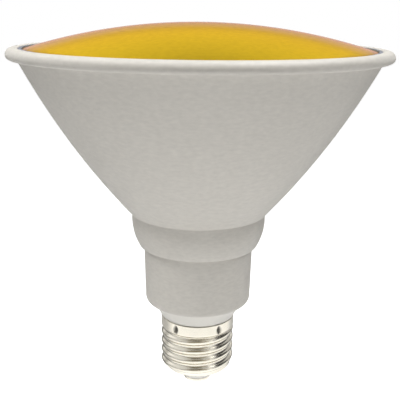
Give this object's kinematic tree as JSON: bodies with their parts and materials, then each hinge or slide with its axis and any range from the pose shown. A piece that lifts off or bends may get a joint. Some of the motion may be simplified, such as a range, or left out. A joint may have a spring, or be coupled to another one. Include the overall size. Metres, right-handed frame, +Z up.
{
  "type": "spotlight bulb",
  "caption": "Reflector spotlight lamp with an amber domed lens, a grey conical body and a screw cap, lit by an LED board inside.",
  "frame": {"origin": "centre of the underside of the centre contact, on the lamp's axis", "axes": "+Z up the lamp's axis from the screw cap to the lens; -Y faces the picture's camera; +X to its right"},
  "size_m": [0.124, 0.124, 0.1285],
  "materials": {
    "amber_lens": "glossy amber polycarbonate",
    "seal_silicone": "grey silicone",
    "body_plastic": "satin warm grey moulding",
    "collar_plastic": "satin off-white moulding",
    "cap_nickel": "bright nickel plate on rolled sheet",
    "insulator_plastic": "white heat-proof plastic",
    "contact_nickel": "plated contact",
    "sink_aluminium": "pressed sheet",
    "board_white": "white solder mask on aluminium",
    "led_phosphor": "phosphor in a white package",
    "screw_steel": "zinc plated",
    "connector_nylon": "white nylon",
    "lead_red": "silicone sleeve",
    "lead_black": "silicone sleeve",
    "lead_brown": "silicone sleeve",
    "lead_blue": "silicone sleeve",
    "board_green": "solder mask on fibreglass",
    "ferrite": "dull ferrite and tape",
    "can_sleeve": "shrink sleeve",
    "film_yellow": "moulded box",
    "resistor_ceramic": "cement coat",
    "chip_epoxy": "moulded epoxy"
  },
  "bodies": {
    "root": {"lens": "amber_lens", "lens_seal": "seal_silicone", "housing": "body_plastic", "driver_cup": "collar_plastic", "screw_shell": "cap_nickel", "cap_insulator": "insulator_plastic", "centre_contact": "contact_nickel", "heat_sink": "sink_aluminium", "led_board": "board_white", "leds": "led_phosphor", "board_screws": "screw_steel", "lead_connector": "connector_nylon", "led_lead_positive": "lead_red", "led_lead_negative": "lead_black", "driver_board": "board_green", "transformer": "ferrite", "bulk_capacitor": "can_sleeve", "output_capacitor": "can_sleeve", "film_capacitor": "film_yellow", "filter_choke": "ferrite", "fuse_resistor": "resistor_ceramic", "bridge_rectifier": "chip_epoxy", "driver_chip": "chip_epoxy", "live_lead": "lead_brown", "neutral_lead": "lead_blue"}
  },
  "joints": []
}
